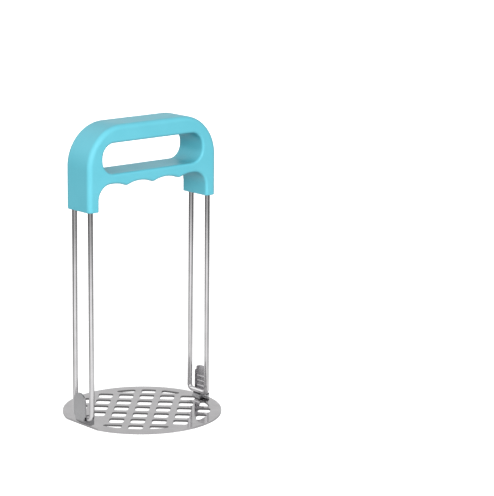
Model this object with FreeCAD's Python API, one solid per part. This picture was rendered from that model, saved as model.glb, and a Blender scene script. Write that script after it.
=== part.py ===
import FreeCAD, Part
import math
import os

# Hand-held masher: a perforated disc hung under a bridge handle by two wire loops.
# The disc hinges on the left loop and is latched to the right one, so it drops open for cleaning.
# Millimetres. +Z is up, +X runs from the hinge side to the latch side, z = 0 is the disc's underside
# and x = y = 0 is the disc's centre. The front is the -Y side.

os.makedirs("parts", exist_ok=True)
Vector = FreeCAD.Vector
X_AXIS = Vector(1, 0, 0)
Y_AXIS = Vector(0, 1, 0)
Z_AXIS = Vector(0, 0, 1)

# Masher disc
DISC_R = 60.4
DISC_T = 1.5
HINGE_CHORD_X = -57.4       # the disc is cut straight here, beside the hinge
HOLE_SIDE = 11.2            # rounded square holes
HOLE_CORNER_R = 2.2
HOLE_PITCH = 16.0           # square lattice, turned 45 degrees to the loops
LATTICE_TURN = -45.0
RIM_INNER_R = 52.0          # the outermost holes end on this circle

# Wire loops
WIRE_R = 2.0
LOOP_X = 56.0               # each loop stands in a plane x = +-LOOP_X
LEG_Y_LOW = 10.0            # half the leg spacing at the crossbar
LEG_Y_HIGH = 9.35           # half the leg spacing at the handle
BEND_R = 3.4                # centreline radius of the crossbar bends
WIRE_TOP_Z = 190.0          # wire ends inside the handle

# Handle
HANDLE_HALF_X = 60.5
HANDLE_HALF_Y = 14.2
HANDLE_Z0 = 162.8           # underside of the two columns
HANDLE_Z1 = 225.6           # top
SHOULDER_R = 31.5
COLUMN_INNER_X = 51.0
ARCH_R = 11.3
GROOVE_Z = 182.2            # highest line of the finger grooves
GROOVE_DEPTH = 2.3
GROOVE_PITCH = 25.0
RIDGE_R = 4.0               # rounding of the ridges between the grooves
SLOT_HALF_X = 47.3
SLOT_Z0 = 189.7
SLOT_Z1 = 212.3
SLOT_CORNER_R = 10.5
OUTER_ROUND = 3.6
SLOT_ROUND = 2.0
UNDER_ROUND = 2.0
FOOT_ROUND = 0.8
WALL = 2.6
CAVITY_FLOOR_Z = 174.5
BOSS_R = 3.2
PEG_R = 1.5
PEG_LENGTH = 4.0
PEG_X_HIGH = 30.0            # posts over the slot
PEG_Z_HIGH = 218.8
PEG_Z_LOW = 185.2            # posts under the slot, one over each outer ridge
SHELL_MARGIN = 5.0           # how far the boxes that split the shells reach past the handle

# Push-on rings that stop the wires from pulling out of the handle
RING_R = 3.0
RING_T = 1.0
RING_Z = 181.0

# Hinge side: bracket with upright ear, and a keeper strap over the crossbar
HINGE_SHEET = 1.2
HINGE_BORE_R = 2.08
CURL_R = 2.9                # inner radius of the bend from foot to ear, about the crossbar
EAR_HALF_Y = 6.85
EAR_TOP_Z = 25.3
EAR_CORNER_R = 1.5
EAR_WIDE_Z = 7.0            # the ear is wide above this height
NECK_HALF_Y = 5.0
FOOT_END_X = -49.3
FOOT_CORNER_R = 1.5
KEEPER_SHEET = 0.8
KEEPER_HALF_Y = 4.0
KEEPER_END_ANGLE = 150.0    # how far the strap wraps round the crossbar, from its inner side
HINGE_RIVET_X = -51.5
HINGE_RIVET_Y = 2.3

# Latch side: base leaf with two lugs, pin, and a ribbed thumb lever
LEAF_T = 0.8
LEAF_X0 = 53.2
LEAF_X1 = 60.5
TONGUE_HALF_Y = 3.9         # the leaf is this narrow under the crossbar
LUG_X0 = 58.25
LUG_INNER_Y = 6.95
PIN_R = 0.7
PIN_PLAY = 0.05
PIN_X = 59.3
PIN_HEIGHT = 1.5            # above the leaf
PIN_HEAD_R = 1.1
PIN_HEAD_T = 0.4
LEVER_T = 0.7
LEVER_X0 = 59.8             # inner face of the lever's web
LEVER_HALF_Y = 6.8
LEVER_TOP_Z = 24.9
LEVER_TOP_RISE = 1.6        # how much higher the middle of its top is than the sides
LEVER_CORNER_R = 1.8
LEVER_FOOT = 0.4            # the web ends this far under the pin's axis
FLANGE_X0 = 58.25
FLANGE_TOP_Z = 21.0
FLANGE_CORNER_R = 1.4
NOSE_HALF_Y = 4.5
NOSE_TIP_X = 58.15
NOSE_LIFT = 1.2             # underside of the nose, above the crossbar's axis
NOSE_T = 0.7
RIB_HALF_Y = 5.2
RIB_PITCH = 3.85
RIB_FIRST_Z = 8.3
RIB_COUNT = 3
RIB_R = 1.35
RIB_AXIS_DEPTH = 0.5        # the rib's axis lies this far behind the web's inner face
RIB_HOLLOW_R = 0.75
RIB_END_WALL = 0.6
LATCH_RIVET_X = 56.0
LATCH_RIVET_Y = 2.6
JOIN = 0.1                  # overlap that lets two solids fuse cleanly

# Cradles that carry both crossbars
CRADLE_HALF_X = 1.7
CRADLE_DROP = 0.8           # top of the cradle, below the crossbar's axis
CRADLE_PLAY = 0.15          # round the right crossbar, which lifts out

# Rivets
RIVET_R = 1.0
RIVET_HEAD_R = 1.35
RIVET_HEAD_T = 0.5
RIVET_HEAD_ROUND = 0.4
RIVET_FLUSH_R = 1.5
RIVET_FLUSH_T = 0.5

ARCH_X = COLUMN_INNER_X - ARCH_R
ARCH_Z = GROOVE_Z - ARCH_R
CROSSBAR_Z = DISC_T + HINGE_SHEET + CURL_R
LEAF_TOP_Z = DISC_T + LEAF_T
PIN_Z = LEAF_TOP_Z + PIN_HEIGHT
CRADLE_FLOOR_Z = CROSSBAR_Z - WIRE_R - CRADLE_PLAY
PEG_PLACES = [
    (side_x * x, z)
    for x, z in ((PEG_X_HIGH, PEG_Z_HIGH), (GROOVE_PITCH, PEG_Z_LOW)) for side_x in (-1, 1)
]


def box(x0, x1, y0, y1, z0, z1):
    return Part.makeBox(x1 - x0, y1 - y0, z1 - z0, Vector(x0, y0, z0))


def cylinder_y(radius, x, z, y0, y1):
    return Part.makeCylinder(radius, y1 - y0, Vector(x, y0, z), Y_AXIS)


def cylinder_z(radius, x, y, z0, z1):
    return Part.makeCylinder(radius, z1 - z0, Vector(x, y, z0), Z_AXIS)


def export(name, shape):
    shape.exportStep("parts/" + name + ".step")
    print(name, len(shape.Solids), "solid(s)", round(shape.Volume, 1), "mm3", "valid", shape.isValid())


def vertical_edges(solid):
    edges = []
    for edge in solid.Edges:
        if len(edge.Vertexes) == 2:
            step = edge.Vertexes[1].Point - edge.Vertexes[0].Point
            if abs(step.x) < 1e-6 and abs(step.y) < 1e-6:
                edges.append(edge)
    return edges


# Masher disc ---------------------------------------------------------------------------------

def square_hole(i, j):
    half = HOLE_SIDE / 2
    x = i * HOLE_PITCH
    y = j * HOLE_PITCH
    prism = box(x - half, x + half, y - half, y + half, -1, DISC_T + 1)
    return prism.makeFillet(HOLE_CORNER_R, vertical_edges(prism))


def border_hole(j):
    # Outermost hole along +X of the lattice: it runs on to the circular border, also sideways at the ends.
    half = HOLE_SIDE / 2
    x = 3 * HOLE_PITCH
    y = j * HOLE_PITCH
    low_y = -DISC_R if j == -1 else y - half
    high_y = DISC_R if j == 1 else y + half
    prism = box(x - half, DISC_R, low_y, high_y, -1, DISC_T + 1)
    prism = prism.common(Part.makeCylinder(RIM_INNER_R, DISC_T + 2, Vector(0, 0, -1)))
    return prism.makeFillet(HOLE_CORNER_R, vertical_edges(prism))


def disc_holes():
    holes = []
    for i in range(-2, 3):
        for j in range(-2, 3):
            under_hinge = i == -2 and j == -2
            if not under_hinge:
                holes.append(square_hole(i, j))
    for j in range(-1, 2):
        for quarter in range(4):
            hole = border_hole(j)
            hole.rotate(Vector(0, 0, 0), Z_AXIS, 90 * quarter)
            holes.append(hole)
    for hole in holes:
        hole.rotate(Vector(0, 0, 0), Z_AXIS, LATTICE_TURN)
    return holes


def masher_plate():
    disc = Part.makeCylinder(DISC_R, DISC_T)
    disc = disc.cut(box(-DISC_R - 1, HINGE_CHORD_X, -DISC_R, DISC_R, -1, DISC_T + 1))
    disc = disc.cut(Part.makeCompound(disc_holes()))
    shanks = rivet_shanks(rivet_places_hinge() + rivet_places_latch(), DISC_T)
    return disc.cut(Part.makeCompound(shanks))


# Rivets --------------------------------------------------------------------------------------

def rivet_places_hinge():
    return [(HINGE_RIVET_X, -HINGE_RIVET_Y), (HINGE_RIVET_X, HINGE_RIVET_Y)]


def rivet_places_latch():
    return [(LATCH_RIVET_X, -LATCH_RIVET_Y), (LATCH_RIVET_X, LATCH_RIVET_Y)]


def rivet_shanks(places, grip_top):
    # Shanks up to grip_top, set flush in a countersink in the disc's underside.
    shapes = []
    for x, y in places:
        shank = cylinder_z(RIVET_R, x, y, 0, grip_top)
        flush = Part.makeCone(RIVET_FLUSH_R, RIVET_R, RIVET_FLUSH_T, Vector(x, y, 0))
        shapes.append(shank.fuse(flush).removeSplitter())
    return shapes


def hinge_rivets():
    grip_top = DISC_T + HINGE_SHEET + KEEPER_SHEET
    places = rivet_places_hinge()
    shapes = []
    for (x, y), shank in zip(places, rivet_shanks(places, grip_top)):
        head = cylinder_z(RIVET_HEAD_R, x, y, grip_top, grip_top + RIVET_HEAD_T)
        top_edge = [edge for edge in head.Edges if edge.BoundBox.ZMin > grip_top + RIVET_HEAD_T - 0.01]
        head = head.makeFillet(RIVET_HEAD_ROUND, top_edge)
        shapes.append(shank.fuse(head).removeSplitter())
    return Part.makeCompound(shapes)


def latch_rivets():
    # Flush at both ends, because they end in the cradle, right under the crossbar.
    shapes = []
    places = rivet_places_latch()
    for (x, y), shank in zip(places, rivet_shanks(places, CRADLE_FLOOR_Z)):
        low = Vector(x, y, CRADLE_FLOOR_Z - RIVET_FLUSH_T)
        top = Part.makeCone(RIVET_R, RIVET_FLUSH_R, RIVET_FLUSH_T, low)
        shapes.append(shank.fuse(top).removeSplitter())
    return Part.makeCompound(shapes)


# Wire loops ----------------------------------------------------------------------------------

def leg_direction(side_y):
    return Vector(0, side_y * (LEG_Y_HIGH - LEG_Y_LOW), WIRE_TOP_Z - CROSSBAR_Z).normalize()


def loop_corner(side_y):
    # The fillet arc between the crossbar and one leg, in the loop's own plane.
    leg = leg_direction(side_y)
    bar = Vector(0, -side_y, 0)
    corner = Vector(0, side_y * LEG_Y_LOW, CROSSBAR_Z)
    half_angle = leg.getAngle(bar) / 2
    setback = BEND_R / math.tan(half_angle)
    bisector = leg + bar
    bisector.normalize()
    centre = corner + bisector * (BEND_R / math.sin(half_angle))
    middle = centre - bisector * BEND_R
    return corner + leg * setback, middle, corner + bar * setback


def wire_loop(loop_x):
    shift = Vector(loop_x, 0, 0)
    front_leg, front_mid, front_bar = [p + shift for p in loop_corner(-1)]
    rear_leg, rear_mid, rear_bar = [p + shift for p in loop_corner(1)]
    front_top = Vector(loop_x, -LEG_Y_HIGH, WIRE_TOP_Z)
    rear_top = Vector(loop_x, LEG_Y_HIGH, WIRE_TOP_Z)
    path = Part.Wire([
        Part.LineSegment(front_top, front_leg).toShape(),
        Part.Arc(front_leg, front_mid, front_bar).toShape(),
        Part.LineSegment(front_bar, rear_bar).toShape(),
        Part.Arc(rear_bar, rear_mid, rear_leg).toShape(),
        Part.LineSegment(rear_leg, rear_top).toShape(),
    ])
    section = Part.Wire(Part.Circle(front_top, front_leg - front_top, WIRE_R).toShape())
    return path.makePipeShell([section], True, False)


def leg_point(loop_x, side_y, z):
    share = (z - CROSSBAR_Z) / (WIRE_TOP_Z - CROSSBAR_Z)
    return Vector(loop_x, side_y * (LEG_Y_LOW + share * (LEG_Y_HIGH - LEG_Y_LOW)), z)


def leg_places():
    return [(loop_x, side_y) for loop_x in (-LOOP_X, LOOP_X) for side_y in (-1, 1)]


def leg_rods(radius, z0, z1):
    rods = []
    for loop_x, side_y in leg_places():
        start = leg_point(loop_x, side_y, z0)
        rods.append(Part.makeCylinder(radius, z1 - z0, start, leg_direction(side_y)))
    return rods


def wire_lock_rings():
    wires = leg_rods(WIRE_R, RING_Z - 2, RING_Z + RING_T + 2)
    discs = leg_rods(RING_R, RING_Z, RING_Z + RING_T)
    return Part.makeCompound([disc.cut(wire) for disc, wire in zip(discs, wires)])


# Handle --------------------------------------------------------------------------------------

def polyline_face(segments):
    return Part.Face(Part.Wire(segments))


def line(a, b):
    return Part.LineSegment(Vector(a[0], 0, a[1]), Vector(b[0], 0, b[1])).toShape()


def arc(a, middle, b):
    points = [Vector(p[0], 0, p[1]) for p in (a, middle, b)]
    return Part.Arc(*points).toShape()


def arc_about(centre, radius, start_deg, end_deg):
    def at(angle):
        turn = math.radians(angle)
        return (centre[0] + radius * math.cos(turn), centre[1] + radius * math.sin(turn))
    return arc(at(start_deg), at((start_deg + end_deg) / 2), at(end_deg)), at(end_deg)


def underside_edges(start, end):
    # Finger grooves from left to right: hollow arcs joined by small rounded ridges, all tangent.
    half_pitch = GROOVE_PITCH / 2
    radius_sum = (half_pitch ** 2 + GROOVE_DEPTH ** 2) / (2 * GROOVE_DEPTH)
    groove_r = radius_sum - RIDGE_R
    lean = math.degrees(math.asin(half_pitch / radius_sum))
    ridge_centre_z = GROOVE_Z - GROOVE_DEPTH + RIDGE_R
    groove_centre_z = GROOVE_Z - groove_r
    edges = []
    here = start
    for ridge in (-1, 0, 1):
        ridge_x = ridge * GROOVE_PITCH
        before = (ridge_x - half_pitch, groove_centre_z)
        edge, corner = arc_about(before, groove_r, 90, 90 - lean)
        if ridge == -1:
            edges.append(line(here, (ridge_x - half_pitch, GROOVE_Z)))
        edges.append(edge)
        edge, corner = arc_about((ridge_x, ridge_centre_z), RIDGE_R, 270 - lean, 270 + lean)
        edges.append(edge)
        after = (ridge_x + half_pitch, groove_centre_z)
        edge, here = arc_about(after, groove_r, 90 + lean, 90)
        edges.append(edge)
    edges.append(line(here, end))
    return edges


def handle_profile():
    shoulder_x = HANDLE_HALF_X - SHOULDER_R
    shoulder_z = HANDLE_Z1 - SHOULDER_R
    edges = [line((-COLUMN_INNER_X, HANDLE_Z0), (-COLUMN_INNER_X, ARCH_Z))]
    edges.append(arc_about((-ARCH_X, ARCH_Z), ARCH_R, 180, 90)[0])
    edges += underside_edges((-ARCH_X, GROOVE_Z), (ARCH_X, GROOVE_Z))
    edges.append(arc_about((ARCH_X, ARCH_Z), ARCH_R, 90, 0)[0])
    edges.append(line((COLUMN_INNER_X, ARCH_Z), (COLUMN_INNER_X, HANDLE_Z0)))
    edges.append(line((COLUMN_INNER_X, HANDLE_Z0), (HANDLE_HALF_X, HANDLE_Z0)))
    edges.append(line((HANDLE_HALF_X, HANDLE_Z0), (HANDLE_HALF_X, shoulder_z)))
    edges.append(arc_about((shoulder_x, shoulder_z), SHOULDER_R, 0, 90)[0])
    edges.append(line((shoulder_x, HANDLE_Z1), (-shoulder_x, HANDLE_Z1)))
    edges.append(arc_about((-shoulder_x, shoulder_z), SHOULDER_R, 90, 180)[0])
    edges.append(line((-HANDLE_HALF_X, shoulder_z), (-HANDLE_HALF_X, HANDLE_Z0)))
    edges.append(line((-HANDLE_HALF_X, HANDLE_Z0), (-COLUMN_INNER_X, HANDLE_Z0)))
    return polyline_face(edges)


def rounded_rectangle(half_x, z0, z1, radius):
    x = half_x - radius
    low = z0 + radius
    high = z1 - radius
    edges = [line((-x, z0), (x, z0)), arc_about((x, low), radius, -90, 0)[0]]
    edges += [line((half_x, low), (half_x, high)), arc_about((x, high), radius, 0, 90)[0]]
    edges += [line((x, z1), (-x, z1)), arc_about((-x, high), radius, 90, 180)[0]]
    edges += [line((-half_x, high), (-half_x, low)), arc_about((-x, low), radius, 180, 270)[0]]
    return polyline_face(edges)


def extrude_y(face, half_y):
    solid = face.extrude(Vector(0, 2 * half_y, 0))
    solid.translate(Vector(0, -half_y, 0))
    return solid


def face_edges(solid, test):
    # Edges of the front and rear faces whose middle point passes the test.
    edges = []
    for edge in solid.Edges:
        bounds = edge.BoundBox
        on_face = bounds.YLength < 1e-6 and abs(abs(bounds.YMin) - HANDLE_HALF_Y) < 1e-6
        if on_face:
            middle = edge.valueAt((edge.FirstParameter + edge.LastParameter) / 2)
            if test(middle):
                edges.append(edge)
    return edges


def in_slot_zone(point):
    inside_x = abs(point.x) < SLOT_HALF_X + 0.5
    return inside_x and SLOT_Z0 - 0.5 < point.z < SLOT_Z1 + 0.5


def is_bottom(point):
    return point.z < HANDLE_Z0 + 0.01


def is_outer(point):
    side = abs(point.x) > HANDLE_HALF_X - 0.01
    over = point.z > SLOT_Z1 + 0.5
    return (side or over) and not is_bottom(point)


def is_under(point):
    return not (in_slot_zone(point) or is_bottom(point) or is_outer(point))


def handle_body():
    body = extrude_y(handle_profile(), HANDLE_HALF_Y)
    body = body.makeFillet(OUTER_ROUND, face_edges(body, is_outer))
    body = body.makeFillet(UNDER_ROUND, face_edges(body, is_under))
    foot_edges = [edge for edge in body.Edges if edge.BoundBox.ZMax < HANDLE_Z0 + 0.01]
    body = body.makeFillet(FOOT_ROUND, foot_edges)
    slot = extrude_y(rounded_rectangle(SLOT_HALF_X, SLOT_Z0, SLOT_Z1, SLOT_CORNER_R), HANDLE_HALF_Y + 1)
    body = body.cut(slot)
    return body.makeFillet(SLOT_ROUND, face_edges(body, in_slot_zone))


def handle_cavity():
    # One hollow over the slot and down both sides of it, as deep as the front and rear walls allow.
    # The outer outline starts well below the cavity's floor, where its lower corners do no harm.
    low_z = HANDLE_Z0 - SHOULDER_R
    outer = rounded_rectangle(HANDLE_HALF_X - WALL, low_z, HANDLE_Z1 - WALL, SHOULDER_R - WALL)
    inner = rounded_rectangle(SLOT_HALF_X + WALL, SLOT_Z0 - WALL, SLOT_Z1 + WALL, SLOT_CORNER_R + WALL)
    half_y = HANDLE_HALF_Y - WALL
    cavity = extrude_y(outer, half_y).cut(extrude_y(inner, half_y + 1))
    below = box(-HANDLE_HALF_X, HANDLE_HALF_X, -half_y - 1, half_y + 1, 0, CAVITY_FLOOR_Z)
    middle = box(-SLOT_HALF_X - WALL, SLOT_HALF_X + WALL, -half_y - 1, half_y + 1, 0, SLOT_Z1)
    cavity = cavity.cut(below).cut(middle)
    bosses = [cylinder_y(BOSS_R, x, z, -HANDLE_HALF_Y, HANDLE_HALF_Y) for x, z in PEG_PLACES]
    arch_walls = [
        cylinder_y(ARCH_R + WALL, side_x * ARCH_X, ARCH_Z, -HANDLE_HALF_Y, HANDLE_HALF_Y)
        for side_x in (-1, 1)
    ]
    return cavity.cut(Part.makeCompound(bosses)).cut(Part.makeCompound(arch_walls))


def handle_shells():
    body = handle_body().cut(handle_cavity())
    body = body.cut(Part.makeCompound(leg_rods(WIRE_R, HANDLE_Z0 - 2, WIRE_TOP_Z + 1)))
    body = body.cut(Part.makeCompound(leg_rods(RING_R, RING_Z, RING_Z + RING_T)))
    reach_x = HANDLE_HALF_X + SHELL_MARGIN
    reach_y = HANDLE_HALF_Y + SHELL_MARGIN
    low_z = HANDLE_Z0 - SHELL_MARGIN
    high_z = HANDLE_Z1 + SHELL_MARGIN
    front_half = box(-reach_x, reach_x, -reach_y, 0, low_z, high_z)
    rear_half = box(-reach_x, reach_x, 0, reach_y, low_z, high_z)
    pegs = [cylinder_y(PEG_R, x, z, 0, PEG_LENGTH) for x, z in PEG_PLACES]
    rooted_pegs = [cylinder_y(PEG_R, x, z, -1, PEG_LENGTH) for x, z in PEG_PLACES]
    front = body.common(front_half).fuse(rooted_pegs)
    rear = body.common(rear_half).cut(Part.makeCompound(pegs))
    return front, rear


# Crossbar cradle -----------------------------------------------------------------------------

def cradle(bar_x, half_y, low_z, bore_r):
    # A block with a round trough, on a sheet whose top is at low_z.
    high_z = CROSSBAR_Z - CRADLE_DROP
    block = box(bar_x - CRADLE_HALF_X, bar_x + CRADLE_HALF_X, -half_y, half_y, low_z - JOIN, high_z)
    return block.cut(cylinder_y(bore_r, bar_x, CROSSBAR_Z, -half_y - 1, half_y + 1))


# Hinge side ----------------------------------------------------------------------------------

def keeper_hood():
    # A sleeve round the left crossbar, from its inner side over the top to KEEPER_END_ANGLE.
    outer_r = HINGE_BORE_R + KEEPER_SHEET
    reach = 2 * outer_r
    hood = cylinder_y(outer_r, -LOOP_X, CROSSBAR_Z, -KEEPER_HALF_Y, KEEPER_HALF_Y)
    hood = hood.cut(cylinder_y(HINGE_BORE_R, -LOOP_X, CROSSBAR_Z, -KEEPER_HALF_Y - 1, KEEPER_HALF_Y + 1))
    for start_angle in (KEEPER_END_ANGLE, 180):
        half_space = box(-reach, reach, -KEEPER_HALF_Y - 1, KEEPER_HALF_Y + 1, 0, reach)
        half_space.rotate(Vector(0, 0, 0), Y_AXIS, -start_angle)
        half_space.translate(Vector(-LOOP_X, 0, CROSSBAR_Z))
        hood = hood.cut(half_space)
    return hood


def ear_outline():
    # Seen along X: a narrow neck round the crossbar, then the wide ear with a round top.
    far_x = -LOOP_X - 2 * CURL_R - HINGE_SHEET
    neck = box(far_x, 0, -NECK_HALF_Y, NECK_HALF_Y, 0, EAR_WIDE_Z + EAR_CORNER_R)
    ear = box(far_x, 0, -EAR_HALF_Y, EAR_HALF_Y, EAR_WIDE_Z, EAR_TOP_Z - EAR_HALF_Y)
    lower_edges = [
        edge for edge in ear.Edges
        if edge.BoundBox.XLength > 1 and edge.BoundBox.ZMax < EAR_WIDE_Z + 0.01
    ]
    ear = ear.makeFillet(EAR_CORNER_R, lower_edges)
    top = Part.makeCylinder(EAR_HALF_Y, -far_x, Vector(far_x, 0, EAR_TOP_Z - EAR_HALF_Y), X_AXIS)
    return neck.fuse([ear, top])


def hinge_bracket():
    foot = box(-LOOP_X, FOOT_END_X, -NECK_HALF_Y, NECK_HALF_Y, DISC_T, DISC_T + HINGE_SHEET)
    foot_corners = [edge for edge in vertical_edges(foot) if edge.BoundBox.XMin > FOOT_END_X - 0.01]
    foot = foot.makeFillet(FOOT_CORNER_R, foot_corners)
    outer_r = CURL_R + HINGE_SHEET
    curl = cylinder_y(outer_r, -LOOP_X, CROSSBAR_Z, -EAR_HALF_Y, EAR_HALF_Y)
    curl = curl.cut(cylinder_y(CURL_R, -LOOP_X, CROSSBAR_Z, -EAR_HALF_Y - 1, EAR_HALF_Y + 1))
    curl = curl.common(box(-LOOP_X - outer_r, -LOOP_X, -EAR_HALF_Y, EAR_HALF_Y, 0, CROSSBAR_Z))
    ear_x = -LOOP_X - outer_r
    ear = box(ear_x, ear_x + HINGE_SHEET, -EAR_HALF_Y, EAR_HALF_Y, CROSSBAR_Z, EAR_TOP_Z)
    support = cradle(-LOOP_X, KEEPER_HALF_Y, DISC_T + HINGE_SHEET, HINGE_BORE_R)
    bracket = foot.fuse([curl, ear, support]).common(ear_outline()).removeSplitter()
    shanks = rivet_shanks(rivet_places_hinge(), DISC_T + HINGE_SHEET)
    return bracket.cut(Part.makeCompound(shanks))


def hinge_keeper():
    # Strap riveted on the bracket's foot, up the inner side of the crossbar and over it.
    low = DISC_T + HINGE_SHEET
    riser_x = -LOOP_X + HINGE_BORE_R
    foot = box(riser_x, FOOT_END_X, -KEEPER_HALF_Y, KEEPER_HALF_Y, low, low + KEEPER_SHEET)
    riser = box(riser_x, riser_x + KEEPER_SHEET, -KEEPER_HALF_Y, KEEPER_HALF_Y, low, CROSSBAR_Z)
    strap = foot.fuse([riser, keeper_hood()]).removeSplitter()
    shanks = rivet_shanks(rivet_places_hinge(), low + KEEPER_SHEET)
    return strap.cut(Part.makeCompound(shanks))


# Latch side ----------------------------------------------------------------------------------

def latch_base():
    lug_outer_y = LUG_INNER_Y + LEAF_T
    eye_r = LEAF_X1 - PIN_X
    tongue = box(LEAF_X0, LEAF_X1, -TONGUE_HALF_Y, TONGUE_HALF_Y, DISC_T, LEAF_TOP_Z)
    parts = [box(LUG_X0, LEAF_X1, -lug_outer_y, lug_outer_y, DISC_T, LEAF_TOP_Z)]
    parts.append(cradle(LOOP_X, TONGUE_HALF_Y, LEAF_TOP_Z, WIRE_R + CRADLE_PLAY))
    for side_y in (-1, 1):
        y0 = min(side_y * LUG_INNER_Y, side_y * lug_outer_y)
        parts.append(box(LUG_X0, LEAF_X1, y0, y0 + LEAF_T, DISC_T, PIN_Z))
        parts.append(cylinder_y(eye_r, PIN_X, PIN_Z, y0, y0 + LEAF_T))
    base = tongue.fuse(parts).removeSplitter()
    base = base.cut(cylinder_y(PIN_R, PIN_X, PIN_Z, -lug_outer_y - 1, lug_outer_y + 1))
    over_rivets = [
        cylinder_z(RIVET_FLUSH_R, x, y, CRADLE_FLOOR_Z, CROSSBAR_Z) for x, y in rivet_places_latch()
    ]
    return base.cut(latch_rivets()).cut(Part.makeCompound(over_rivets))


def latch_pin():
    end_y = LUG_INNER_Y + LEAF_T
    shaft = cylinder_y(PIN_R, PIN_X, PIN_Z, -end_y - PIN_HEAD_T, end_y + PIN_HEAD_T)
    heads = [
        cylinder_y(PIN_HEAD_R, PIN_X, PIN_Z, -end_y - PIN_HEAD_T, -end_y),
        cylinder_y(PIN_HEAD_R, PIN_X, PIN_Z, end_y, end_y + PIN_HEAD_T),
    ]
    return shaft.fuse(heads).removeSplitter()


def lever_outline():
    # Seen along X: straight sides and a shallow round top with rounded corners.
    side_z = LEVER_TOP_Z - LEVER_TOP_RISE
    points = [
        Vector(0, -LEVER_HALF_Y, 0),
        Vector(0, LEVER_HALF_Y, 0),
        Vector(0, LEVER_HALF_Y, side_z),
        Vector(0, 0, LEVER_TOP_Z),
        Vector(0, -LEVER_HALF_Y, side_z),
    ]
    edges = [
        Part.LineSegment(points[0], points[1]).toShape(),
        Part.LineSegment(points[1], points[2]).toShape(),
        Part.Arc(points[2], points[3], points[4]).toShape(),
        Part.LineSegment(points[4], points[0]).toShape(),
    ]
    outline = Part.Face(Part.Wire(edges)).extrude(Vector(HANDLE_HALF_X + 1, 0, 0))
    corners = [edge for edge in outline.Edges if edge.BoundBox.XLength > 1 and edge.BoundBox.ZMin > 1]
    return outline.makeFillet(LEVER_CORNER_R, corners)


def lever_rib(z):
    # Pressed rib across the web: raised towards the wires, hollow on the outside.
    axis_x = LEVER_X0 + RIB_AXIS_DEPTH
    raised = cylinder_y(RIB_R, axis_x, z, -RIB_HALF_Y, RIB_HALF_Y)
    raised = raised.common(box(0, LEVER_X0 + LEVER_T, -RIB_HALF_Y, RIB_HALF_Y, 0, LEVER_TOP_Z))
    hollow_half_y = RIB_HALF_Y - RIB_END_WALL
    hollow = cylinder_y(RIB_HOLLOW_R, axis_x, z, -hollow_half_y, hollow_half_y)
    return raised, hollow


def latch_lever():
    web_x1 = LEVER_X0 + LEVER_T
    wide = LEVER_HALF_Y
    web = box(LEVER_X0, web_x1, -wide, wide, PIN_Z - LEVER_FOOT, LEVER_TOP_Z)
    parts = []
    for side_y in (-1, 1):
        y0 = min(side_y * wide, side_y * (wide - LEVER_T))
        flange = box(FLANGE_X0, LEVER_X0 + JOIN, y0, y0 + LEVER_T, PIN_Z, FLANGE_TOP_Z)
        top_corner = [
            edge for edge in flange.Edges
            if edge.BoundBox.ZMin > FLANGE_TOP_Z - 0.01 and edge.BoundBox.XMax < FLANGE_X0 + 0.01
        ]
        parts.append(flange.makeFillet(FLANGE_CORNER_R, top_corner))
        parts.append(cylinder_y(PIN_X - FLANGE_X0, PIN_X, PIN_Z, y0, y0 + LEVER_T))
    nose_z = CROSSBAR_Z + NOSE_LIFT
    parts.append(box(NOSE_TIP_X, LEVER_X0 + JOIN, -NOSE_HALF_Y, NOSE_HALF_Y, nose_z, nose_z + NOSE_T))
    ribs = [lever_rib(RIB_FIRST_Z + number * RIB_PITCH) for number in range(RIB_COUNT)]
    parts += [raised for raised, hollow in ribs]
    lever = web.fuse(parts).removeSplitter().common(lever_outline())
    lever = lever.cut(Part.makeCompound([hollow for raised, hollow in ribs]))
    return lever.cut(cylinder_y(PIN_R + PIN_PLAY, PIN_X, PIN_Z, -wide - 1, wide + 1))


front_shell, rear_shell = handle_shells()
export("handle_front_shell", front_shell)
export("handle_rear_shell", rear_shell)
export("left_wire_loop", wire_loop(-LOOP_X))
export("right_wire_loop", wire_loop(LOOP_X))
export("wire_lock_rings", wire_lock_rings())
export("masher_plate", masher_plate())
export("hinge_bracket", hinge_bracket())
export("hinge_keeper", hinge_keeper())
export("hinge_rivets", hinge_rivets())
export("latch_base", latch_base())
export("latch_pin", latch_pin())
export("latch_lever", latch_lever())
export("latch_rivets", latch_rivets())
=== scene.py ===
import math

import bpy
from mathutils import Matrix, Vector


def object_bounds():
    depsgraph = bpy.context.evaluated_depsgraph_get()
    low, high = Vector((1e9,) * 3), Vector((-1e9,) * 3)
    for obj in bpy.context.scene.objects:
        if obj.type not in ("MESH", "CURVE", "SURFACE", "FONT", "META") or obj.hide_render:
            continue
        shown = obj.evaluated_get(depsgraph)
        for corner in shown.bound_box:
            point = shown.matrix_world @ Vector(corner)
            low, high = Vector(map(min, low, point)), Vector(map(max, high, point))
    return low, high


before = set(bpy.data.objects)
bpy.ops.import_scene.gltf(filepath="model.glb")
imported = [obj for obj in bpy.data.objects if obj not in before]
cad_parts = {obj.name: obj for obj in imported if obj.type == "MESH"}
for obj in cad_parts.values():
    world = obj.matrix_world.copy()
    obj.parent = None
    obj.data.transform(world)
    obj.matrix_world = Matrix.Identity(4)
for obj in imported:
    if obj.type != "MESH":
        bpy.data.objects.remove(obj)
cad_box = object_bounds()

# Everything is in metres, in the frame of the CAD model: +Z up, -Y the front, the disc on z = 0.
MM = 0.001

# Camera: the photograph's viewing angle in degrees, its distance and its lens.
CAMERA_AZIMUTH = -41.95
CAMERA_PITCH = 12.43
CAMERA_ROLL = 0.637
CAMERA_AIM = Vector((76.26, -32.73, 122.1)) * MM
CAMERA_DISTANCE = 1571.7 * MM
CAMERA_LENS = 149.42
SENSOR_WIDTH = 36
CAMERA_REACH = 50

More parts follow.
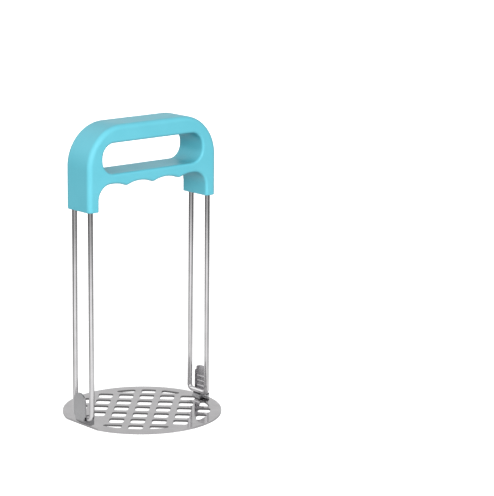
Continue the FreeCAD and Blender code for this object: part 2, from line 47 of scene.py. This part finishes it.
# Area lights: azimuth from the front (-Y) towards the hinge side (-X), elevation over the table.
LIGHT_DISTANCE = 2.2
LIGHT_SIZE = (1.6, 1.2)
KEY_AZIMUTH = 30.0
KEY_ELEVATION = 19.0
KEY_POWER = 45.0
BACK_AZIMUTH = 215.0
BACK_ELEVATION = 15.0
BACK_POWER = 27.0

# Table: three sheets at almost the same height, each for one kind of ray.
FLOOR_SIZE = 12.0
TABLE_GAP = 0.001
PAPER_ROUGHNESS = 0.9
FLOOR_GREY = 0.50
FLOOR_BACKLIGHT = 0.91
TABLE_GLOW = 0.30
TABLE_MIRROR = 1.15

# Brightness of the mirrored table by its distance from the disc's centre.
PAPER_BY_RADIUS = [
    (0.0, 0.25), (0.057, 0.25), (0.066, 0.80), (0.15, 0.85),
    (0.45, 0.95), (0.60, 0.70), (0.75, 0.42), (1.0, 0.36),
]
CARD_STRENGTH_BY_RADIUS = [(0.0, 0.1), (0.12, 0.3), (0.3, 0.75), (0.6, 0.88), (1.0, 0.92)]

# By direction round the object: 0.5 straight ahead of the camera, 0.25 to its left, 0.75 to its
# right, 0 and 1 behind it. The dark cards on the table draw the dark lines on the wires.
CARDS_AROUND = [
    (0.0, 0.0), (0.09, 0.0), (0.14, 0.9), (0.24, 0.9), (0.32, 0.2), (0.42, 0.0),
    (0.58, 0.0), (0.68, 0.2), (0.76, 0.9), (0.86, 0.9), (0.91, 0.0), (1.0, 0.0),
]
WALLS_AROUND = [
    (0.0, 1.0), (0.10, 0.9), (0.22, 0.45), (0.34, 0.40), (0.43, 0.95),
    (0.57, 0.95), (0.66, 0.25), (0.80, 0.30), (0.90, 0.9), (1.0, 1.0),
]
SOFTBOX_AROUND = [(0.0, 1.0), (0.10, 0.9), (0.16, 0.0), (0.88, 0.0), (0.94, 0.9), (1.0, 1.0)]
SIDE_PANEL_AROUND = [(0.0, 0.0), (0.16, 0.0), (0.22, 1.0), (0.40, 1.0), (0.46, 0.0)]
FILL_AROUND = [
    (0.0, 0.0), (0.10, 0.0), (0.22, 0.45), (0.34, 0.45), (0.43, 0.0),
    (0.57, 0.0), (0.66, 0.50), (0.80, 0.50), (0.90, 0.0), (1.0, 0.0),
]

# By height: the z of a ray's direction, 0 on the horizon and 1 overhead. Only the walls' heights
# are counted from LOWEST_WALL, a little under the horizon.
LOWEST_WALL = -0.2
WALLS_BY_HEIGHT = [(0.0, 1.0), (0.36, 0.95), (0.55, 0.58), (0.80, 0.36), (1.0, 0.32)]
SOFTBOX_BY_HEIGHT = [(0.0, 0.0), (0.25, 0.0), (0.36, 1.0), (0.72, 1.0), (0.82, 0.0)]
SIDE_PANEL_BY_HEIGHT = [(0.0, 0.0), (0.30, 0.0), (0.38, 1.0), (0.66, 1.0), (0.74, 0.0)]
FILL_BY_HEIGHT = [(0.0, 0.0), (0.06, 0.0), (0.14, 1.0), (0.36, 1.0), (0.44, 0.0)]
CEILING_BY_HEIGHT = [(0.0, 0.0), (0.74, 0.0), (0.86, 0.55), (1.0, 0.60)]

# Plastic
TURQUOISE = (0.132, 0.535, 0.650)
TURQUOISE_LIGHT = (0.146, 0.562, 0.680)
# Painted shade: the darker turquoise laid into slots and corners.
TURQUOISE_PAINTED_SHADE = (0.050, 0.32, 0.38)
# Lighter turquoise at the edges: wear and a painted highlight.
TURQUOISE_WORN_AND_HIGHLIT = (0.20, 0.66, 0.78)
PLASTIC_CORNER_REACH = 30 * MM
PLASTIC_EDGE_RADIUS = 0.7 * MM
PLASTIC_IOR = 1.49

# Metals: how fast the drawn or rolled lines change along X, Y and Z, per metre.
ALONG_X = (30, 1900, 1900)
ALONG_Y = (1900, 30, 1900)
ALONG_Z = (2600, 2600, 40)
METAL_EDGE_RADIUS = 0.25 * MM
# How much lighter metal edges are: partly wear, partly a painted highlight.
EDGE_WEAR_AND_HIGHLIGHT_GAIN = 1.25
# Painted shade on the latch: the grey it is darkened to, and the heights over which the darkening rises.
PAINTED_SHADE_GREY = (0.10, 0.10, 0.105)
LATCH_SHADE_FROM = 2.9 * MM
LATCH_SHADE_TO = 3.7 * MM


# Node helpers ----------------------------------------------------------------------------------

class Graph:
    """A small wrapper that makes nodes and links them by name."""

    def __init__(self, tree):
        self.tree = tree

    def add(self, kind, inputs=None, **settings):
        node = self.tree.nodes.new(kind)
        for name, value in settings.items():
            setattr(node, name, value)
        for name, value in (inputs or {}).items():
            self.feed(node, name, value)
        return node

    def feed(self, node, name, value):
        socket = node.inputs[name]
        if isinstance(value, bpy.types.NodeSocket):
            self.tree.links.new(value, socket)
        else:
            socket.default_value = value

    def math(self, operation, a, b=0.0):
        return self.add("ShaderNodeMath", {0: a, 1: b}, operation=operation).outputs[0]

    def place(self, scale=(1, 1, 1)):
        """Object coordinates, in metres, times a scale along each axis."""
        coordinates = self.add("ShaderNodeTexCoord").outputs["Object"]
        return self.add("ShaderNodeMapping", {"Vector": coordinates, "Scale": scale}).outputs[0]

    def noise(self, vector, scale, detail=2.0, roughness=0.5):
        inputs = {"Vector": vector, "Scale": scale, "Detail": detail, "Roughness": roughness}
        return self.add("ShaderNodeTexNoise", inputs).outputs[0]

    def remap(self, value, low, high, to_low, to_high):
        inputs = {0: value, 1: low, 2: high, 3: to_low, 4: to_high}
        return self.add("ShaderNodeMapRange", inputs, clamp=True).outputs[0]

    def ramp(self, value, stops):
        """A grey ramp through (position, brightness) stops."""
        node = self.add("ShaderNodeValToRGB", {0: value})
        elements = node.color_ramp.elements
        while len(elements) < len(stops):
            elements.new(0.5)
        for element, (position, brightness) in zip(elements, stops):
            element.position = position
            element.color = (brightness, brightness, brightness, 1)
        return node.outputs[0]

    def mix(self, factor, a, b, blend="MIX"):
        node = self.add("ShaderNodeMix", data_type="RGBA", blend_type=blend)
        self.feed(node, 0, factor)
        self.feed(node, 6, a if isinstance(a, bpy.types.NodeSocket) else (*a, 1))
        self.feed(node, 7, b if isinstance(b, bpy.types.NodeSocket) else (*b, 1))
        return node.outputs[2]

    def edge_mask(self, radius):
        """0 on open surfaces, 1 within about the radius of a sharp edge."""
        rounded = self.add("ShaderNodeBevel", {"Radius": radius}, samples=4).outputs[0]
        true_normal = self.add("ShaderNodeNewGeometry").outputs["Normal"]
        inputs = {0: rounded, 1: true_normal}
        likeness = self.add("ShaderNodeVectorMath", inputs, operation="DOT_PRODUCT").outputs["Value"]
        return self.remap(likeness, 0.80, 0.98, 1, 0)

    def cavity_mask(self, reach):
        """1 on open surfaces, lower in slots and corners narrower than the reach."""
        return self.add("ShaderNodeAmbientOcclusion", {"Distance": reach}, samples=8).outputs["AO"]

    def bump(self, height, distance, strength, normal=None):
        inputs = {"Height": height, "Distance": distance, "Strength": strength}
        if normal is not None:
            inputs["Normal"] = normal
        return self.add("ShaderNodeBump", inputs).outputs[0]


def new_material(name):
    material = bpy.data.materials.new(name)
    material.use_nodes = True
    graph = Graph(material.node_tree)
    return material, graph, material.node_tree.nodes["Principled BSDF"]


# Camera ----------------------------------------------------------------------------------------

def make_camera():
    azimuth, pitch, roll = (math.radians(a) for a in (CAMERA_AZIMUTH, CAMERA_PITCH, CAMERA_ROLL))
    flat = math.cos(pitch)
    forward = Vector((-math.sin(azimuth) * flat, math.cos(azimuth) * flat, -math.sin(pitch)))
    level = Vector((math.cos(azimuth), math.sin(azimuth), 0))
    upright = level.cross(forward)
    right = level * math.cos(roll) + upright * math.sin(roll)
    up = upright * math.cos(roll) - level * math.sin(roll)
    data = bpy.data.cameras.new("camera")
    data.lens = CAMERA_LENS
    data.sensor_width = SENSOR_WIDTH
    data.clip_end = CAMERA_REACH
    camera = bpy.data.objects.new("camera", data)
    place = CAMERA_AIM - forward * CAMERA_DISTANCE
    turn = Matrix((right, up, -forward)).transposed().to_4x4()
    camera.matrix_world = Matrix.Translation(place) @ turn
    bpy.context.scene.collection.objects.link(camera)
    bpy.context.scene.camera = camera


# Studio ----------------------------------------------------------------------------------------

def floor_sheet(name, z):
    half = FLOOR_SIZE / 2
    corners = [(-half, -half, z), (half, -half, z), (half, half, z), (-half, half, z)]
    mesh = bpy.data.meshes.new(name)
    mesh.from_pydata(corners, [], [(0, 1, 2, 3)])
    sheet = bpy.data.objects.new(name, mesh)
    bpy.context.scene.collection.objects.link(sheet)
    material, graph, shader = new_material(name + "_paper")
    shader.inputs["Roughness"].default_value = PAPER_ROUGHNESS
    shader.inputs["Specular IOR Level"].default_value = 0.0
    shader.inputs["Emission Color"].default_value = (1, 1, 1, 1)
    mesh.materials.append(material)
    return sheet, graph, shader


def make_floor():
    """White backlit paper, as the camera sees it. It keeps a faint contact shadow."""
    sheet, graph, shader = floor_sheet("floor", 0)
    shader.inputs["Base Color"].default_value = (FLOOR_GREY, FLOOR_GREY, FLOOR_GREY, 1)
    shader.inputs["Emission Strength"].default_value = FLOOR_BACKLIGHT
    sheet.visible_diffuse = False
    sheet.visible_glossy = False


def direction_around(graph, x, y):
    """0.5 straight ahead of the camera, 0.25 to the left, 0.75 to the right, 0 and 1 behind it."""
    azimuth = math.radians(CAMERA_AZIMUTH)
    ahead_x = graph.math("MULTIPLY", x, -math.sin(azimuth))
    ahead = graph.math("ADD", ahead_x, graph.math("MULTIPLY", y, math.cos(azimuth)))
    right_x = graph.math("MULTIPLY", x, math.cos(azimuth))
    right = graph.math("ADD", right_x, graph.math("MULTIPLY", y, math.sin(azimuth)))
    angle = graph.math("ARCTAN2", right, ahead)
    return graph.remap(angle, -math.pi, math.pi, 0, 1)


def make_table_glow():
    """Soft light from the table onto the object's undersides."""
    sheet, graph, shader = floor_sheet("table_glow", -TABLE_GAP)
    shader.inputs["Base Color"].default_value = (0.0, 0.0, 0.0, 1)
    shader.inputs["Emission Strength"].default_value = TABLE_GLOW
    sheet.visible_camera = False
    sheet.visible_glossy = False
    sheet.visible_shadow = False


def make_table_mirror():
    """What the metal mirrors of the table: white paper, dim under the disc, with cards at both sides."""
    sheet, graph, shader = floor_sheet("table_mirror", -2 * TABLE_GAP)
    sheet.visible_camera = False
    sheet.visible_diffuse = False
    sheet.visible_shadow = False
    place = graph.add("ShaderNodeTexCoord").outputs["Object"]
    x, y = graph.add("ShaderNodeSeparateXYZ", {0: place}).outputs[:2]
    square = graph.math("ADD", graph.math("MULTIPLY", x, x), graph.math("MULTIPLY", y, y))
    radius = graph.math("SQRT", square)
    paper = graph.ramp(radius, PAPER_BY_RADIUS)
    strength = graph.ramp(radius, CARD_STRENGTH_BY_RADIUS)
    cards = graph.ramp(direction_around(graph, x, y), CARDS_AROUND)
    shade = graph.math("SUBTRACT", 1.0, graph.math("MULTIPLY", strength, cards))
    shader.inputs["Base Color"].default_value = (0.0, 0.0, 0.0, 1)
    bright = graph.math("MULTIPLY", graph.math("MULTIPLY", paper, shade), TABLE_MIRROR)
    graph.feed(shader, "Emission Strength", bright)


def make_world():
    """White walls before and behind the object, dim ones beside it, and a dim ceiling.

    A softbox hangs over the camera. The panel on the left, the fill at the dim sides and the
    ceiling light are seen by mirror rays only, so they brighten the metal and hardly the plastic.
    """
    world = bpy.data.worlds.new("studio")
    bpy.context.scene.world = world
    world.use_nodes = True
    graph = Graph(world.node_tree)
    direction = graph.add("ShaderNodeTexCoord").outputs["Generated"]
    x, y, z = graph.add("ShaderNodeSeparateXYZ", {0: direction}).outputs
    around = direction_around(graph, x, y)
    wall_height = graph.remap(z, LOWEST_WALL, 1, 0, 1)

    def surface(sideways, height, upwards):
        return graph.mix(1.0, graph.ramp(around, sideways), graph.ramp(height, upwards), "MULTIPLY")

    walls = surface(WALLS_AROUND, wall_height, WALLS_BY_HEIGHT)
    softbox = surface(SOFTBOX_AROUND, z, SOFTBOX_BY_HEIGHT)
    side_panel = surface(SIDE_PANEL_AROUND, z, SIDE_PANEL_BY_HEIGHT)
    fill = surface(FILL_AROUND, z, FILL_BY_HEIGHT)
    mirrored = graph.mix(1.0, side_panel, graph.ramp(z, CEILING_BY_HEIGHT), "ADD")
    mirrored = graph.mix(1.0, mirrored, fill, "ADD")
    mirror_ray = graph.add("ShaderNodeLightPath").outputs["Is Glossy Ray"]
    light = graph.mix(1.0, walls, softbox, "ADD")
    light = graph.mix(1.0, light, graph.math("MULTIPLY", mirrored, mirror_ray), "ADD")
    studio = graph.add("ShaderNodeBackground", {"Color": light, "Strength": 1.0})
    plain = graph.add("ShaderNodeBackground", {"Color": (1, 1, 1, 1), "Strength": 1.0})
    camera_ray = graph.add("ShaderNodeLightPath").outputs["Is Camera Ray"]
    mixed = graph.add("ShaderNodeMixShader", {0: camera_ray, 1: studio.outputs[0], 2: plain.outputs[0]})
    graph.feed(world.node_tree.nodes["World Output"], "Surface", mixed.outputs[0])


def make_area_light(name, azimuth, elevation, power):
    """A soft light that faces the object and isn't mirrored by it."""
    target = (Vector(cad_box[0]) + Vector(cad_box[1])) / 2
    data = bpy.data.lights.new(name, "AREA")
    data.shape = "RECTANGLE"
    data.size, data.size_y = LIGHT_SIZE
    data.energy = power
    light = bpy.data.objects.new(name, data)
    a, e = math.radians(azimuth), math.radians(elevation)
    out = Vector((-math.sin(a) * math.cos(e), -math.cos(a) * math.cos(e), math.sin(e)))
    turn = out.to_track_quat("Z", "Y").to_matrix().to_4x4()
    light.matrix_world = Matrix.Translation(target + out * LIGHT_DISTANCE) @ turn
    light.visible_glossy = False
    bpy.context.scene.collection.objects.link(light)


# Materials -------------------------------------------------------------------------------------

def turquoise_plastic():
    """Satin moulded plastic: fine spark texture, slight colour drift, soft edges lighter from wear and a
    painted highlight, a few scuffs.

    Shade is painted into its colour inside the finger slot and the arches, where ambient occlusion is
    low.
    """
    material, g, shader = new_material("turquoise_plastic")
    place = g.place()
    drift = g.noise(place, 38, 3)
    grain = g.noise(place, 2600, 2)
    color = g.mix(g.remap(drift, 0.3, 0.7, 0, 1), TURQUOISE, TURQUOISE_LIGHT)
    # Painted shade: darker turquoise where ambient occlusion is low, in the finger slot and the arches.
    shaded = g.remap(g.cavity_mask(PLASTIC_CORNER_REACH), 0.30, 0.95, 0.85, 0)
    color = g.mix(shaded, color, TURQUOISE_PAINTED_SHADE)
    # The edges turn lighter, partly as wear and partly as a painted highlight; their lower roughness is
    # wear.
    rubbed_and_highlit = g.math("MULTIPLY", g.edge_mask(PLASTIC_EDGE_RADIUS), 0.15)
    color = g.mix(rubbed_and_highlit, color, TURQUOISE_WORN_AND_HIGHLIT)
    scuff_place = g.place((500, 1400, 260))
    scuffs = g.remap(g.noise(scuff_place, 1, 4, 0.62), 0.66, 0.74, 0, 1)
    patches = g.remap(g.noise(place, 55, 2), 0.5, 0.66, 0, 1)
    worn = g.math("MULTIPLY", scuffs, patches)
    roughness = g.remap(drift, 0.25, 0.75, 0.36, 0.44)
    roughness = g.math("ADD", roughness, g.math("MULTIPLY", worn, 0.14))
    roughness = g.math("SUBTRACT", roughness, g.math("MULTIPLY", rubbed_and_highlit, 0.3))
    g.feed(shader, "Base Color", color)
    g.feed(shader, "Roughness", roughness)
    g.feed(shader, "Normal", g.bump(grain, 0.02 * MM, 0.35))
    shader.inputs["IOR"].default_value = PLASTIC_IOR
    return material


def steel(name, color, roughness, spread, lines, scratch, blotch=0.06, painted_shade_heights=None):
    """Metal with lines drawn or rolled along one axis, fine scratches, slow blotches, and edges lighter
    from wear and a painted highlight.

    spread is how far the roughness varies either way, scratch the strength of the lines' bump.
    blotch is half the darkening of the blotches. The last argument gives the heights between which
    painted shade turns the metal dark, low to high.
    """
    material, g, shader = new_material(name)
    place = g.place()
    grain = g.noise(g.place(lines), 1, 3, 0.6)
    slow = g.noise(place, 90, 3)
    fine = g.noise(place, 1500, 2)
    darker = tuple(c * (1 - 2 * blotch) for c in color)
    tone = g.mix(g.remap(slow, 0.3, 0.7, 0, 1), darker, color)
    # Lighter edges: partly wear, partly a painted highlight.
    worn = g.math("MULTIPLY", g.edge_mask(METAL_EDGE_RADIUS), 0.5)
    tone = g.mix(worn, tone, tuple(min(1.0, EDGE_WEAR_AND_HIGHLIGHT_GAIN * c) for c in color))
    # Painted shade: above the given heights the metal is darkened to a grey.
    if painted_shade_heights is not None:
        low_z, high_z = painted_shade_heights
        z = g.add("ShaderNodeSeparateXYZ", {0: place}).outputs[2]
        height = g.math("ADD", z, g.math("MULTIPLY", slow, 0.3 * MM))
        tone = g.mix(g.remap(height, low_z, high_z, 0, 1), tone, PAINTED_SHADE_GREY)
    rough = g.remap(grain, 0.3, 0.7, roughness - spread, roughness + spread)
    rough = g.math("ADD", rough, g.remap(slow, 0.5, 0.75, 0, spread))
    g.feed(shader, "Base Color", tone)
    g.feed(shader, "Roughness", rough)
    first = g.bump(grain, 0.01 * MM, scratch)
    g.feed(shader, "Normal", g.bump(fine, 0.006 * MM, 0.12, first))
    shader.inputs["Metallic"].default_value = 1.0
    return material


def make_materials():
    """The material of each CAD node."""
    plastic = turquoise_plastic()
    wire = steel(
        "drawn_wire", color=(0.78, 0.77, 0.78),
        roughness=0.10, spread=0.02, lines=ALONG_Z, scratch=0.12,
    )
    disc = steel(
        "rolled_disc_steel", color=(0.53, 0.52, 0.53),
        roughness=0.07, spread=0.02, lines=ALONG_X, scratch=0.15,
    )
    bracket = steel(
        "satin_bracket_steel", color=(0.54, 0.54, 0.55),
        roughness=0.28, spread=0.05, lines=ALONG_Z, scratch=0.3,
    )
    lever = steel(
        "satin_lever_steel", color=(0.57, 0.56, 0.575),
        roughness=0.24, spread=0.02, lines=ALONG_Y, scratch=0.04,
    )
    # Painted shade on the latch's upper part, around the wire loop's crossbar.
    dark = steel(
        "shaded_latch_steel", color=(0.62, 0.62, 0.63),
        roughness=0.26, spread=0.06, lines=ALONG_Y, scratch=0.3, blotch=0.12,
        painted_shade_heights=(LATCH_SHADE_FROM, LATCH_SHADE_TO),
    )
    spring = steel(
        "spring_steel", color=(0.42, 0.42, 0.44),
        roughness=0.35, spread=0.06, lines=ALONG_Y, scratch=0.5,
    )
    rivet = steel(
        "rivet_steel", color=(0.58, 0.58, 0.60),
        roughness=0.25, spread=0.05, lines=ALONG_Y, scratch=0.3,
    )
    return {
        "handle_front_shell": plastic,
        "handle_rear_shell": plastic,
        "left_wire_loop": wire,
        "right_wire_loop": wire,
        "wire_lock_rings": spring,
        "masher_plate": disc,
        "hinge_bracket": bracket,
        "hinge_keeper": bracket,
        "hinge_rivets": rivet,
        "latch_base": dark,
        "latch_pin": dark,
        "latch_lever": lever,
        "latch_rivets": rivet,
    }


def set_material(node, material):
    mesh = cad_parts[node].data
    mesh.materials.clear()
    mesh.materials.append(material)


make_camera()
make_floor()
make_table_glow()
make_table_mirror()
make_world()
make_area_light("key", KEY_AZIMUTH, KEY_ELEVATION, KEY_POWER)
make_area_light("back", BACK_AZIMUTH, BACK_ELEVATION, BACK_POWER)
for node, material in make_materials().items():
    set_material(node, material)

bpy.context.scene.view_settings.view_transform = "Standard"
